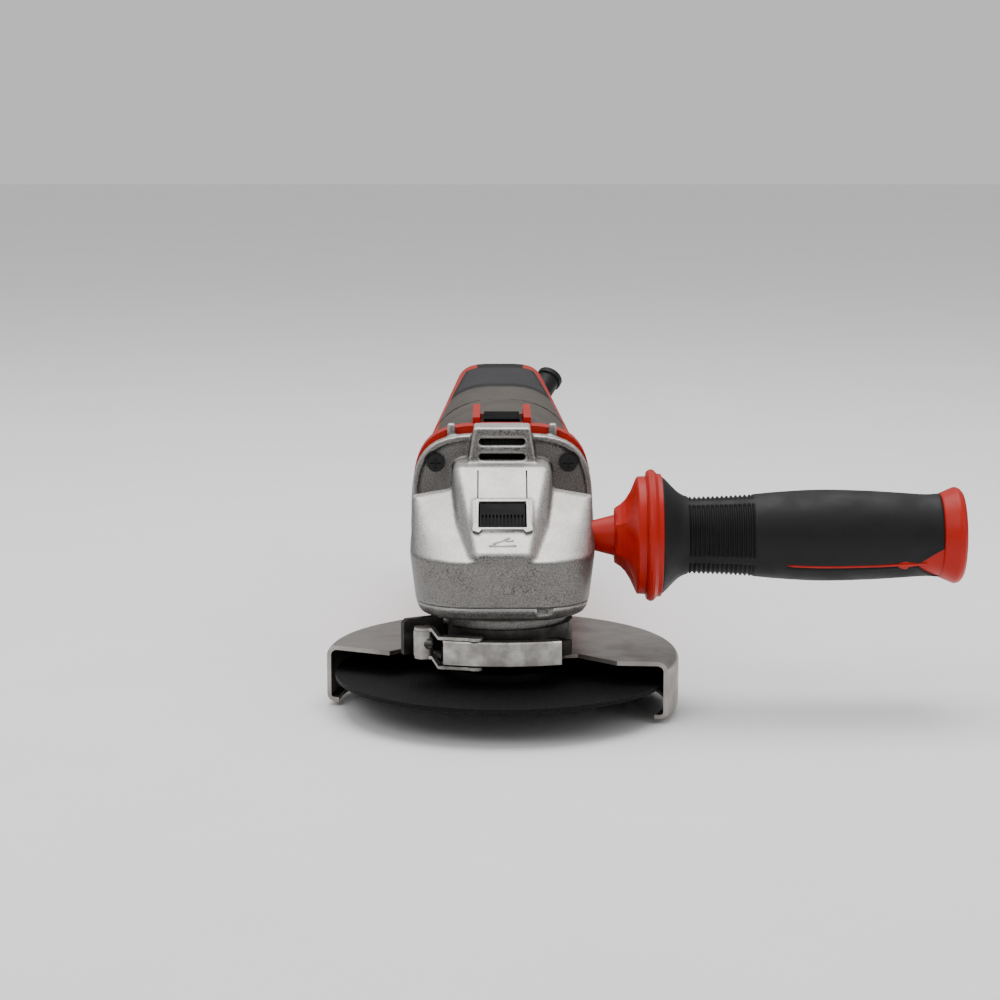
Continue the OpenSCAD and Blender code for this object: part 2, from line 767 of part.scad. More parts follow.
module motor_housing() {
  slider_y0 = ring_end + 4;
  color("#C4342A") difference() {
    union() {
      slab(head_back, ring_end - head_back, oval(ring_x, axis_z - flange_down - 1.2, axis_z,
        axis_z + body_top + 2.5, 3.7));
      difference() {
        motor_outer(0);
        difference() {
          front_grip_zone(0);
          motor_outer(grip_t);
        }
      }
      for (x = [-9.9, 9.9])
        block(x - 1.4, x + 1.4, ring_end - 2, slider_y0 + 34, axis_z + 20, axis_z + body_top + 4.6);
      block(-8.6, 8.6, ring_end - 2, slider_y0 + 34, axis_z + 22, axis_z + body_top + 0.8);
    }
    rod_y(stator_d / 2, head_back - 1, stack_end);
    rod_y(spigot_r - 1.4, stack_end, body_split + 1);
    block(-8.4, 8.4, head_back - 1, ring_end - 3, nose_top + 0.4, vent_top - 1.6);
    block(-8.5, 8.5, slider_y0 - 3, slider_y0 + 33, axis_z + body_top - 1.4, axis_z + 50);
    rod_channel(slider_y0 - 3, body_split + 1, slider_y0 + 33);
    for (x = [-screw_x, screw_x], z = [-screw_rise, screw_rise])
      rod_y(2.1, head_back - 1, flange_y + 18.2, x, axis_z + z);
    for (s = [-1, 1], i = [0:5])
      translate([s * body_w / 2, stack_end + 6 + i * 4.2, axis_z - 8])
        cube([14, 1.8, 17], center = true);
  }
  color("#C4342A") difference() {
    rod_y(spigot_r, body_split - 5, rear_bearing_y + 1);
    rod_y(spigot_r - 1.4, body_split - 6, rear_bearing_y - 1.8);
    rod_y(12.6, rear_bearing_y - 3, rear_bearing_y + 2);
    for (a = [45:90:315])
      translate([0, rear_bearing_y, axis_z]) rotate([0, a, 0]) translate([19.6, 0, 0])
        rotate([90, 0, 0]) cylinder(r = 5, h = 10, center = true);
  }
}

module front_grip() {
  color("#6E6660") difference() {
    intersection() {
      motor_outer(0);
      front_grip_zone(0.05);
    }
    motor_outer(grip_t);
    block(-11.35, 11.35, ring_end, ring_end + 38.1, axis_z, axis_z + 60);
  }
}

module brush_holders() {
  color("#B08D45") for (s = [-1, 1])
    difference() {
      translate([s * 18, commutator_y + 7, axis_z]) cube([12.6, 9.4, 9.4], center = true);
      translate([s * 18, commutator_y + 7, axis_z]) cube([14, 6.6, 6.6], center = true);
    }
}

module carbon_brushes() {
  color("#2E2E30") for (s = [-1, 1])
    translate([s * 15.2, commutator_y + 7, axis_z]) cube([8, 6.3, 6.3], center = true);
}

module brush_springs() {
  color("#9A9C9E") for (s = [-1, 1], i = [0:2])
    translate([s * (19.9 + i * 1.6), commutator_y + 7, axis_z]) rotate([0, 90, 0])
      rotate_extrude($fn = 32) translate([2.3, 0]) circle(0.35, $fn = 8);
}

// ---- rear handle ----

module handle_outer(inset) {
  hull() {
    slab(body_split, 1, oval(body_w / 2 - 0.6 - inset, axis_z - body_bottom + 2 + inset, axis_z,
      axis_z + body_top - inset, 2.5, 40));
    slab(handle_end - 7, 1, oval(rear_w / 2 - inset, rear_low + inset, axis_z + 6,
      axis_z + body_top + 1 - inset, 4.2, 40));
    slab(handle_end - 1 - inset, 1, oval(rear_w / 2 - 5 - inset, rear_low + 5 + inset, axis_z + 6,
      axis_z + body_top - 4 - inset, 3.4, 40));
  }
}

// the pad on top of the rear handle, narrowing to the back
module rear_grip_zone(inset) {
  y0 = body_split + 40;
  translate([0, 0, axis_z + 22]) linear_extrude(60)
    polygon([[-19.6 + inset, y0 + inset], [19.6 - inset, y0 + inset],
      [rear_w / 2 - 5.5 - inset, handle_end + 3], [5.5 - rear_w / 2 + inset, handle_end + 3]]);
}

module gland_way() {
  translate([rear_w / 2 - 7.5, handle_end, axis_z + 13]) rotate([-56.3, 0, -30.4]) children();
}

function handle_screws() = [[body_split + 20, axis_z - 19], [handle_end - 16, rear_low + 11]];

module along_x(at, r, x0, x1) {
  translate([x0, at[0], at[1]]) rotate([0, 90, 0]) cylinder(r = r, h = x1 - x0);
}

module handle_half(side) {
  difference() {
    union() {
      difference() {
        handle_outer(0);
        handle_outer(grip_t + wall);
      }
      intersection() {
        handle_outer(grip_t + 1);
        for (at = handle_screws()) along_x(at, 5, side > 0 ? 0 : -body_w / 2, side > 0 ? 12 : 0);
      }
    }
    difference() {
      rear_grip_zone(0);
      handle_outer(grip_t + 0.02);
    }
    rod_y(spigot_r + 0.3, body_split - 1, rear_bearing_y + 3);
    rod_channel(body_split - 1, switch_y + 3, body_split - 1.5);
    gland_way() translate([0, 0, -20]) cylinder(r = 5.5, h = 60);
    for (at = handle_screws()) {
      along_x(at, 1.9, -body_w, 11);
      along_x(at, 3.8, -body_w, -11.6);
    }
    if (side > 0) block(-100, 0, 0, handle_end + 50, -10, 200);
    else block(0, 100, 0, handle_end + 50, -10, 200);
  }
}

module handle_shell_left() {
  color("#C4342A") handle_half(-1);
}

module handle_shell_right() {
  color("#C4342A") handle_half(1);
}

module handle_shell_screws() {
  color("#8E8F90") for (at = handle_screws()) {
    along_x(at, 1.85, -13, 9);
    difference() {
      along_x(at, 3.5, -14, -11.6);
      for (a = [0, 90])
        translate([-14, at[0], at[1]]) rotate([a, 0, 0]) cube([1.6, 4.6, 0.8], center = true);
    }
  }
}

module rear_grip() {
  color("#4A474B") difference() {
    intersection() {
      handle_outer(0);
      rear_grip_zone(0.05);
    }
    handle_outer(grip_t);
  }
}

module switch_slider() {
  y0 = ring_end + 10;
  z = axis_z + body_top;
  color("#1C1D1F") {
    block(-8, 8, y0, y0 + 24, z - 1.1, z + 1);
    for (i = [0:7]) block(-7, 7, y0 + 1.2 + i * 2.9, y0 + 2.8 + i * 2.9, z + 0.9, z + 2.3);
    block(-2.6, 2.6, y0 + 8, y0 + 14, rod_top, z - 1);
  }
}

// flat rod with a leg that holds the switch's plunger down while the slider is at rest
module switch_rod() {
  y1 = switch_y + 1;
  color("#D8D6D0") {
    block(-2, 2, ring_end + 14.5, y1, rod_top - 1.4, rod_top);
    block(-2, 2, y1 - 2, y1, axis_z + 18, rod_top - 1);
  }
}

module switch_unit() {
  color("#26272A") {
    block(-9, 9, switch_y + 4, switch_y + 36, axis_z - 2, axis_z + 24);
    block(-3, 3, switch_y + 1.2, switch_y + 5, axis_z + 18.5, axis_z + 22);
  }
}

module suppression_capacitor() {
  color("#C9A227") block(-7, 7, switch_y + 6, switch_y + 30, axis_z - 11.5, axis_z - 2.5);
}

module cord_gland() {
  color("#141415") difference() {
    gland_way() {
      translate([0, 0, -15]) cylinder(r = 5.4, h = 38.3);
      translate([0, 0, -15]) cylinder(r = 6.8, h = 2.5);
      translate([0, 0, 20.8]) cylinder(r = 6.2, h = 2.5);
    }
    gland_way() translate([0, 0, -16]) cylinder(d = gland_bore, h = 41);
  }
}

module cord_clamp() {
  color("#2F3033") block(-6, 8, handle_end - 30, handle_end - 22, axis_z - 3, axis_z + 1.5);
}

// ---- side handle ----

// outline of the handle's hard core: [distance from the gear head, radius]
function core_outline() = [[0, 5.4], [7.4, 7.7], [7.9, 10.3], [10.5, 12.1], [15, 18.7], [17.2, 22.2],
  [19.4, 22.4], [20.4, handle_flange_r - 0.3], [21.7, handle_flange_r], [23.9, handle_flange_r - 0.7],
  [24.4, handle_flange_r - 2.2]];

module side_handle_core() {
  g = grip_r - 17;
  color("#D0301C") translate([handle_x, 0, socket_z]) rotate([0, 90, 0]) difference() {
    union() {
      rotate_extrude() polygon(concat([[0, 0]], [for (p = core_outline()) [p[1], p[0]]], [[0, 24.4]]));
      translate([0, 0, 20]) cylinder(r = 9, h = side_len - 21);
      rotate_extrude() polygon([[0, side_len - 8.6], [15.2 + g, side_len - 8.6], [15.7 + g, side_len - 8.2],
        [17.7 + g, side_len - 3.9], [17.9 + g, side_len - 2.8], [17.4 + g, side_len - 1.2],
        [16 + g, side_len], [0, side_len]]);
    }
    translate([0, 0, -1]) cylinder(d = handle_thread, h = 22);
  }
}

module side_handle_grip() {
  g = grip_r - 17;
  l = side_len - 8.7;
  color("#232325") translate([handle_x, 0, socket_z]) rotate([0, 90, 0]) difference() {
    union() {
      rotate_extrude() polygon([[9, 24.5], [22.2, 24.5], [19.2 + g / 2, 28.4], [16 + g / 2, 30.6],
        [14.8 + g, 32.8], [14.2 + g, 35.1], [14.2 + g, 36], [15.2 + g, 59], [16.5 + g, 73],
        [17 + g, 84.2], [16.8 + g, l - 33], [15.7 + g, l - 11], [15 + g, l - 5], [15.5 + g, l], [9, l]]);
      for (i = [0:13]) translate([0, 0, 36.4 + i * 1.65])
        rotate_extrude() polygon([[13, 0], [15.2 + g + i * 0.06, 0], [15.2 + g + i * 0.06, 0.8], [13, 0.8]]);
    }
    translate([0, 0, 24]) cylinder(r = 9, h = l);
  }
}

module side_handle_stud() {
  color("#A9ABAD") translate([handle_x - socket_depth + 0.5, 0, socket_z]) rotate([0, 90, 0])
    cylinder(d = handle_thread - 0.06, h = socket_depth + 20);
}

gear_housing();
gear_housing_screws();
bearing_plate();
bearing_plate_screws();
needle_sleeve();
spindle_bearing_outer();
spindle_bearing_inner();
spindle();
ring_gear();
inner_flange();
cutting_disc();
clamping_nut();
lock_button();
lock_pin();
lock_spring();
guard_shell();
guard_collar();
clamp_screw();
clamp_lever();
clamp_link();
clamp_barrel();
armature_shaft();
pinion_gear();
armature_core();
armature_windings();
commutator();
cooling_fan();
front_bearing_inner();
front_bearing_outer();
bearing_retainer();
rear_bearing_inner();
rear_bearing_outer();
rear_bearing_cap();
stator_core();
stator_windings();
air_baffle();
motor_housing();
front_grip();
brush_holders();
carbon_brushes();
brush_springs();
handle_shell_left();
handle_shell_right();
handle_shell_screws();
rear_grip();
switch_slider();
switch_rod();
switch_unit();
suppression_capacitor();
cord_gland();
cord_clamp();
side_handle_core();
side_handle_grip();
side_handle_stud();
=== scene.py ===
import json
import math

import bpy
import numpy as np
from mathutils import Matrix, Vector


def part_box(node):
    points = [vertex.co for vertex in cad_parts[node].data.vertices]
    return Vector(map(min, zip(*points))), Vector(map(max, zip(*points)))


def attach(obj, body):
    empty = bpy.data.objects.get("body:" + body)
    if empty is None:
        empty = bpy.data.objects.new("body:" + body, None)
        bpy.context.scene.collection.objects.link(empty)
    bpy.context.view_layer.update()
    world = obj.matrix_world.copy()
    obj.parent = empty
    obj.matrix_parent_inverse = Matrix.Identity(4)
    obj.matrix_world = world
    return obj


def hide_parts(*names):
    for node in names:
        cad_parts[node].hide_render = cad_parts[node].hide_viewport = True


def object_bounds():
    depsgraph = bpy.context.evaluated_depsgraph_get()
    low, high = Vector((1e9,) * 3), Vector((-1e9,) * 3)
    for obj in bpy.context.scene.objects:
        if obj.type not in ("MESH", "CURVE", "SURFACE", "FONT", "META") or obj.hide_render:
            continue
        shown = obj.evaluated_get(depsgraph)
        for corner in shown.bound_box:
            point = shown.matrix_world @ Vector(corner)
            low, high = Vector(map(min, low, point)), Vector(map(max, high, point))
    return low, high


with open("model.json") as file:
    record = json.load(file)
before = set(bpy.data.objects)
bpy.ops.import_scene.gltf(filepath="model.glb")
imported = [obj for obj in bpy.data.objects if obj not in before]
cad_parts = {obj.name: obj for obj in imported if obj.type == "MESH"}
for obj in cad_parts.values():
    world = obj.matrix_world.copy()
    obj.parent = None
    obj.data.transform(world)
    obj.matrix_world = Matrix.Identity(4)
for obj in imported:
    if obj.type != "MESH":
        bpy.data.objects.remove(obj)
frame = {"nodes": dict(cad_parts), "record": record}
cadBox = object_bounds()
print("frame loaded:", len(frame["nodes"]), "nodes")

mm = 0.001


# ---- colours and nodes

def linearColour(hexColour):
    # sRGB hex to linear RGBA
    channels = [int(hexColour[i:i + 2], 16) / 255 for i in (1, 3, 5)]
    return [c / 12.92 if c <= 0.04045 else ((c + 0.055) / 1.055) ** 2.4 for c in channels] + [1.0]


def addNode(tree, kind, settings=None, links=None):
    # settings: attributes or input values by name; links: input name -> output socket
    node = tree.nodes.new(kind)
    for key, value in (settings or {}).items():
        if isinstance(key, str) and hasattr(node, key):
            setattr(node, key, value)
        else:
            node.inputs[key].default_value = value
    for key, socket in (links or {}).items():
        tree.links.new(socket, node.inputs[key])
    return node


def newMaterial(name, shaderSettings):
    material = bpy.data.materials.new(name)
    material.use_nodes = True
    tree = material.node_tree
    tree.nodes.clear()
    shader = addNode(tree, "ShaderNodeBsdfPrincipled", shaderSettings)
    addNode(tree, "ShaderNodeOutputMaterial", None, {"Surface": shader.outputs[0]})
    place = addNode(tree, "ShaderNodeTexCoord").outputs["Object"]
    return material, tree, shader, place


def grain(tree, place, sizeMm, detail=2.0, stretch=None):
    # noise whose cells are about sizeMm across; stretch scales the axes before it
    if stretch:
        place = addNode(tree, "ShaderNodeMapping", {"Scale": stretch}, {"Vector": place}).outputs[0]
    return addNode(tree, "ShaderNodeTexNoise", {"Scale": 1 / (sizeMm * mm), "Detail": detail},
                   {"Vector": place}).outputs["Fac"]


def spread(tree, socket, low, high, start=0.35, end=0.65):
    return addNode(tree, "ShaderNodeMapRange", {"From Min": start, "From Max": end, "To Min": low,
                                                "To Max": high}, {"Value": socket}).outputs[0]


def mixColours(tree, factor, first, second):
    mix = addNode(tree, "ShaderNodeMix", {"data_type": "RGBA"}, {0: factor})
    for index, colour in ((6, first), (7, second)):
        if isinstance(colour, str):
            mix.inputs[index].default_value = linearColour(colour)
        else:
            tree.links.new(colour, mix.inputs[index])
    return mix.outputs[2]


def addBump(tree, shader, height, depthMm, strength=1.0):
    bump = addNode(tree, "ShaderNodeBump", {"Strength": strength, "Distance": depthMm * mm},
                   {"Height": height})
    tree.links.new(bump.outputs[0], shader.inputs["Normal"])


# ---- finishes, one entry per record slot: fine grain, broad patches, roughness and relief

plainFinishes = {
    # black oxide leaves a near-black skin with a dull oily sheen
    "blackOxideScrew": dict(slots=["screw_black"], colour="#0B0B0C", patch="#151517", metallic=0.3,
                            roughness=(0.38, 0.5), grainMm=0.25, patchMm=3, depthMm=0.01),
    # zinc plate is bright, faintly clouded and slightly warm
    "zincPlatedSteel": dict(slots=["screw_steel", "latch_steel"], colour="#B4B1AD", patch="#8E8B87",
                            metallic=1.0, roughness=(0.26, 0.42), grainMm=0.3, patchMm=5, depthMm=0.012),
    # ground and lapped bearing steel
    "groundBearingSteel": dict(slots=["bearing_steel"], colour="#B9BBBD", patch="#A8AAAC", metallic=1.0,
                               roughness=(0.12, 0.2), grainMm=0.2, patchMm=4, depthMm=0.002),
    # turning leaves fine rings and a satin gloss
    "turnedSteel": dict(slots=["turned_steel"], colour="#96999C", patch="#84878A", metallic=1.0,
                        roughness=(0.24, 0.36), grainMm=0.25, patchMm=4, depthMm=0.008),
    "hardenedGearSteel": dict(slots=["gear_steel"], colour="#6F7275", patch="#55585B", metallic=1.0,
                              roughness=(0.22, 0.36), grainMm=0.3, patchMm=3, depthMm=0.006),
    # phosphated and oiled pressing: dark grey-brown, dull
    "phosphatedSteel": dict(slots=["collar_steel"], colour="#3E3B39", patch="#2C2A28", metallic=0.75,
                            roughness=(0.38, 0.55), grainMm=0.35, patchMm=4, depthMm=0.015),
    # black-oxide flange and nut
    "blackenedFlange": dict(slots=["flange_black"], colour="#121314", patch="#1D1E20", metallic=0.6,
                            roughness=(0.34, 0.5), grainMm=0.3, patchMm=5, depthMm=0.012),
    # glass-filled nylon from a spark-eroded mould: fine even texture, low gloss
    "blackNylon": dict(slots=["black_plastic", "grey_plastic"], colour="#0B0B0C", patch="#121213",
                       metallic=0.0, roughness=(0.42, 0.55), grainMm=0.22, patchMm=8, depthMm=0.02),
    # the press button and the switch slider: drier nylon, its colour painted darker as shade because they
    # face up into the light
    "dryNylon": dict(slots=["dryNylon"], colour="#030303", patch="#070708", metallic=0.0,
                      roughness=(0.5, 0.62), grainMm=0.22, patchMm=8, depthMm=0.02, specular=0.09),
    "springWire": dict(slots=["spring_steel"], colour="#85878A", patch="#6E7073", metallic=1.0,
                       roughness=(0.22, 0.34), grainMm=0.2, patchMm=3, depthMm=0.004),
    "enamelledCopper": dict(slots=["enamelled_copper"], colour="#A4622E", patch="#7A3F18", metallic=0.7,
                            roughness=(0.2, 0.35), grainMm=0.5, patchMm=3, depthMm=0.12),
    "turnedCopper": dict(slots=["commutator_copper"], colour="#B8763A", patch="#9C5D28", metallic=1.0,
                         roughness=(0.2, 0.32), grainMm=0.3, patchMm=3, depthMm=0.006),
    "pressedBrass": dict(slots=["brass"], colour="#B08D45", patch="#97752F", metallic=1.0,
                         roughness=(0.25, 0.38), grainMm=0.3, patchMm=4, depthMm=0.01),
    "carbonBlock": dict(slots=["carbon"], colour="#2A2A2C", patch="#1C1C1E", metallic=0.1,
                        roughness=(0.5, 0.7), grainMm=0.3, patchMm=2, depthMm=0.03),
    "acetal": dict(slots=["white_plastic"], colour="#D8D6D0", patch="#CFCCC4", metallic=0.0,
                   roughness=(0.3, 0.42), grainMm=0.3, patchMm=6, depthMm=0.01),
    "capacitorCase": dict(slots=["capacitor_yellow"], colour="#C9A227", patch="#B98F1B", metallic=0.0,
                          roughness=(0.3, 0.4), grainMm=0.3, patchMm=6, depthMm=0.01),
    # moulded rubber: matt, dusty in patches, slightly pebbled
    "mouldedRubber": dict(slots=["black_rubber", "handle_rubber"], colour="#0E0E0F", patch="#171718",
                          metallic=0.0, roughness=(0.5, 0.66), grainMm=0.35, patchMm=9, depthMm=0.03),
    # red glass-filled nylon of the side handle: smooth moulded skin, low gloss
    "redHandleNylon": dict(slots=["handle_red"], colour="#B21507", patch="#A91306", metallic=0.0,
                           roughness=(0.34, 0.46), grainMm=0.3, patchMm=10, depthMm=0.018),
    "laminatedIron": dict(slots=["laminated_steel"], colour="#75777A", patch="#5D5F62", metallic=0.9,
                          roughness=(0.35, 0.5), grainMm=0.35, patchMm=4, depthMm=0.02),
}


def plainFinish(name, v):
    material, tree, shader, place = newMaterial(name, {"Metallic": v["metallic"]})
    if v["metallic"] == 0:
        shader.inputs["Specular IOR Level"].default_value = v.get("specular", 0.26)
    fine = grain(tree, place, v["grainMm"])
    broad = grain(tree, place, v["patchMm"], 4.0)
    speck = spread(tree, fine, 0.0, 0.35)
    cloud = spread(tree, broad, 0.0, 0.75)
    both = addNode(tree, "ShaderNodeMath", {"operation": "ADD", "use_clamp": True},
                   {0: speck, 1: cloud}).outputs[0]
    tree.links.new(mixColours(tree, both, v["colour"], v["patch"]), shader.inputs["Base Color"])
    tree.links.new(spread(tree, broad, *v["roughness"]), shader.inputs["Roughness"])
    addBump(tree, shader, fine, v["depthMm"])
    return material


def dieCastAluminium():
    # shot-blasted die casting: sparkling 0.5 mm speckle, lighter sharp edges, painted shade in the hollows,
    # and painted light by face direction: walls painted darker as shade, faces that look up painted bright
    # as lit
    v = dict(speckleMm=0.55, patchMm=9, depthMm=0.075)
    material, tree, shader, place = newMaterial("dieCastAluminium", {"Metallic": 0.82})
    speckle = grain(tree, place, v["speckleMm"], 3.0)
    patch = grain(tree, place, v["patchMm"], 3.0)
    edges = addNode(tree, "ShaderNodeNewGeometry").outputs["Pointiness"]
    normal = addNode(tree, "ShaderNodeNewGeometry").outputs["Normal"]
    upward = addNode(tree, "ShaderNodeSeparateXYZ", None, {"Vector": normal}).outputs["Z"]
    sparkle = spread(tree, speckle, 0, 1, 0.34, 0.66)
    # painted light and shade: the normal's upward part picks a lit pair of colours for faces that look up
    # and a shaded pair for walls
    base = mixColours(tree, spread(tree, upward, 0, 1, 0.3, 0.8),
                      mixColours(tree, sparkle, "#4A4846", "#918E8B"),
                      mixColours(tree, sparkle, "#A3A09D", "#DEDBD8"))
    clouded = mixColours(tree, spread(tree, patch, 0, 0.3, 0.4, 0.62), base, "#8B8987")
    # painted shade: hollows, where pointiness is low, are mixed dark
    hollowShade = mixColours(tree, spread(tree, edges, 1, 0, 0.40, 0.49), clouded, "#3E3C3A")
    # sharp outer edges, where pointiness is high, are mixed lighter
    edgeLightened = mixColours(tree, spread(tree, edges, 0, 0.8, 0.515, 0.58), hollowShade, "#E4E2E0")
    tree.links.new(edgeLightened, shader.inputs["Base Color"])
    tree.links.new(spread(tree, speckle, 0.34, 0.56), shader.inputs["Roughness"])
    addBump(tree, shader, speckle, v["depthMm"], 0.8)
    return material


def guardSheet():
    # zinc-plated pressing: fine drawn lines, soft clouding, a few handling scuffs
    v = dict(lineMm=0.3, patchMm=14, depthMm=0.012)
    material, tree, shader, place = newMaterial("platedGuardSheet", {"Metallic": 0.92})
    lines = grain(tree, place, v["lineMm"], 2.0, (0.08, 1.0, 1.0))
    patch = grain(tree, place, v["patchMm"], 4.0)
    speck = grain(tree, place, 0.6, 2.0)
    base = mixColours(tree, spread(tree, patch, 0, 1, 0.36, 0.64), "#A5A09C", "#8A8581")
    marked = mixColours(tree, spread(tree, speck, 0, 0.5, 0.55, 0.72), base, "#8B8682")
    tree.links.new(marked, shader.inputs["Base Color"])
    tree.links.new(spread(tree, patch, 0.3, 0.46), shader.inputs["Roughness"])
    addBump(tree, shader, lines, v["depthMm"])
    return material


def bondedAbrasive():
    # resin-bonded grit on a woven glass mesh: matt black with fine sparkles and a faint weave
    v = dict(gritMm=0.45, meshMm=3.2, depthMm=0.09)
    material, tree, shader, place = newMaterial("bondedAbrasive",
                                                {"Metallic": 0.0, "Specular IOR Level": 0.2})
    grit = addNode(tree, "ShaderNodeTexVoronoi", {"Scale": 1 / (v["gritMm"] * mm)},
                   {"Vector": place})
    glint = spread(tree, grit.outputs["Color"], 0, 1, 0.8, 0.98)
    split = addNode(tree, "ShaderNodeSeparateXYZ", None, {"Vector": place})
    threads = []
    for axis in ("X", "Y"):
        perMetre = 2 * math.pi / (v["meshMm"] * mm)
        turns = addNode(tree, "ShaderNodeMath", {"operation": "MULTIPLY", 1: perMetre},
                        {0: split.outputs[axis]}).outputs[0]
        wave = addNode(tree, "ShaderNodeMath", {"operation": "SINE"}, {0: turns}).outputs[0]
        threads.append(spread(tree, wave, 0, 1, 0.55, 1.0))
    weave = addNode(tree, "ShaderNodeMath", {"operation": "MAXIMUM"}, {0: threads[0], 1: threads[1]})
    base = mixColours(tree, spread(tree, weave.outputs[0], 0, 0.5, 0, 1), "#020202", "#070606")
    tree.links.new(mixColours(tree, glint, base, "#1E1C1B"), shader.inputs["Base Color"])
    tree.links.new(spread(tree, grit.outputs["Distance"], 0.9, 0.62, 0, 0.7),
                   shader.inputs["Roughness"])
    height = addNode(tree, "ShaderNodeMath", {"operation": "MULTIPLY_ADD", 1: 0.6},
                     {0: weave.outputs[0], 2: grit.outputs["Distance"]}).outputs[0]
    addBump(tree, shader, height, v["depthMm"], 0.7)
    return material


def within(tree, socket, low, high, edgeMm=0.12):
    # 1 where the coordinate lies between low and high (mm), 0 outside
    rise = addNode(tree, "ShaderNodeMapRange", {"From Min": (low - edgeMm) * mm, "From Max": low * mm},
                   {"Value": socket}).outputs[0]
    fall = addNode(tree, "ShaderNodeMapRange", {"From Min": high * mm, "From Max": (high + edgeMm) * mm,
                                                "To Min": 1.0, "To Max": 0.0}, {"Value": socket}).outputs[0]
    return addNode(tree, "ShaderNodeMath", {"operation": "MULTIPLY"}, {0: rise, 1: fall}).outputs[0]


def combine(tree, operation, *sockets):
    total = sockets[0]
    for other in sockets[1:]:
        total = addNode(tree, "ShaderNodeMath", {"operation": operation, "use_clamp": True},
                        {0: total, 1: other}).outputs[0]
    return total


def twoShotHousing(name):
    # red glass-filled nylon with soft grip moulded over its top: grey in front, charcoal on the rear pad,
    # a black strip at the end, a dark parting groove where two materials meet, and painted shade on the
    # pad's front edge
    v = dict(gripLow=76, greyStart=54.6, padStart=184, padEnd=248, postHalf=11.4, postEnd=88.2,
             stripHalf=10.5, grooveMm=0.7, stepMm=5, pebbleMm=0.9, depthMm=0.05, grainMm=0.3,
             halfFront=28.6, halfMiddle=25.2, halfRear=15.6, frontY=60, middleY=150, rearY=245)
    material, tree, shader, place = newMaterial(name, {"Metallic": 0.0, "Specular IOR Level": 0.24})
    split = addNode(tree, "ShaderNodeSeparateXYZ", None, {"Vector": place})
    x = addNode(tree, "ShaderNodeMath", {"operation": "ABSOLUTE"}, {0: split.outputs["X"]}).outputs[0]
    y, z = split.outputs["Y"], split.outputs["Z"]
    # the grip's half-width follows the housing as it narrows to the rear
    front = addNode(tree, "ShaderNodeMapRange", {"From Min": v["frontY"] * mm, "From Max": v["middleY"] * mm,
                                                 "To Min": v["halfFront"] * mm,
                                                 "To Max": v["halfMiddle"] * mm}, {"Value": y}).outputs[0]
    narrowing = addNode(tree, "ShaderNodeMapRange",
                        {"From Min": v["middleY"] * mm, "From Max": v["rearY"] * mm, "To Min": 0.0,
                         "To Max": (v["halfMiddle"] - v["halfRear"]) * mm}, {"Value": y}).outputs[0]
    half = addNode(tree, "ShaderNodeMath", {"operation": "SUBTRACT"}, {0: front, 1: narrowing}).outputs[0]
    past = addNode(tree, "ShaderNodeMath", {"operation": "SUBTRACT"}, {0: x, 1: half}).outputs[0]
    top = combine(tree, "MULTIPLY", within(tree, z, v["gripLow"], 200), within(tree, past, -200, 0))
    posts = combine(tree, "MULTIPLY", within(tree, x, -1, v["postHalf"]), within(tree, y, 0, v["postEnd"]))
    outsidePosts = combine(tree, "SUBTRACT", top, posts)
    grey = combine(tree, "MULTIPLY", outsidePosts, within(tree, y, v["greyStart"], v["padStart"]))
    pad = combine(tree, "MULTIPLY", top, within(tree, y, v["padStart"], v["padEnd"]))
    strip = combine(tree, "MULTIPLY", within(tree, z, v["gripLow"], 200), within(tree, y, v["padEnd"], 400),
                    within(tree, x, -1, v["stripHalf"]))
    g = v["grooveMm"]
    # painted shade: a soft dark band across the front edge of the raised rear pad
    padStepShade = within(tree, y, v["padStart"] - 1, v["padStart"] + v["stepMm"], 4)
    end = within(tree, y, v["padEnd"] - g, v["padEnd"] + g)
    rims = [combine(tree, "MULTIPLY", padStepShade, top), combine(tree, "MULTIPLY", end, top)]
    rims.append(combine(tree, "MULTIPLY", within(tree, past, -1.6 * g, 0.3),
                        within(tree, z, v["gripLow"], 200), within(tree, y, v["padStart"], v["padEnd"])))
    # dark parting groove at the pad's end and sides, plus the painted shade band at its front edge
    grooveAndStepShade = combine(tree, "ADD", *rims)
    cloud = grain(tree, place, 14, 4.0)
    fine = grain(tree, place, v["grainMm"])
    pebble = addNode(tree, "ShaderNodeTexVoronoi", {"Scale": 1 / (v["pebbleMm"] * mm),
                                                    "feature": "SMOOTH_F1"}, {"Vector": place}).outputs[0]
    patches = spread(tree, cloud, 0, 1)
    colour = mixColours(tree, patches, "#AE1607", "#A61406")
    for mask, first, second in ((grey, "#48433E", "#544E48"), (pad, "#262427", "#302E31"),
                                (strip, "#0C0C0D", "#141415"), (grooveAndStepShade, "#131213", "#1A1819")):
        colour = mixColours(tree, mask, colour, mixColours(tree, patches, first, second))
    tree.links.new(colour, shader.inputs["Base Color"])
    soft = combine(tree, "ADD", grey, pad, strip)
    rough = addNode(tree, "ShaderNodeMath", {"operation": "MULTIPLY_ADD", 1: 0.2},
                    {0: soft, 2: spread(tree, cloud, 0.36, 0.46)}).outputs[0]
    tree.links.new(rough, shader.inputs["Roughness"])
    relief = addNode(tree, "ShaderNodeMix", {"data_type": "FLOAT"},
                     {0: soft, 2: fine, 3: pebble}).outputs[0]
    sunk = addNode(tree, "ShaderNodeMath", {"operation": "MULTIPLY_ADD", 1: -4.0},
                   {0: grooveAndStepShade, 2: relief}).outputs[0]
    addBump(tree, shader, sunk, v["depthMm"], 0.8)
    return material


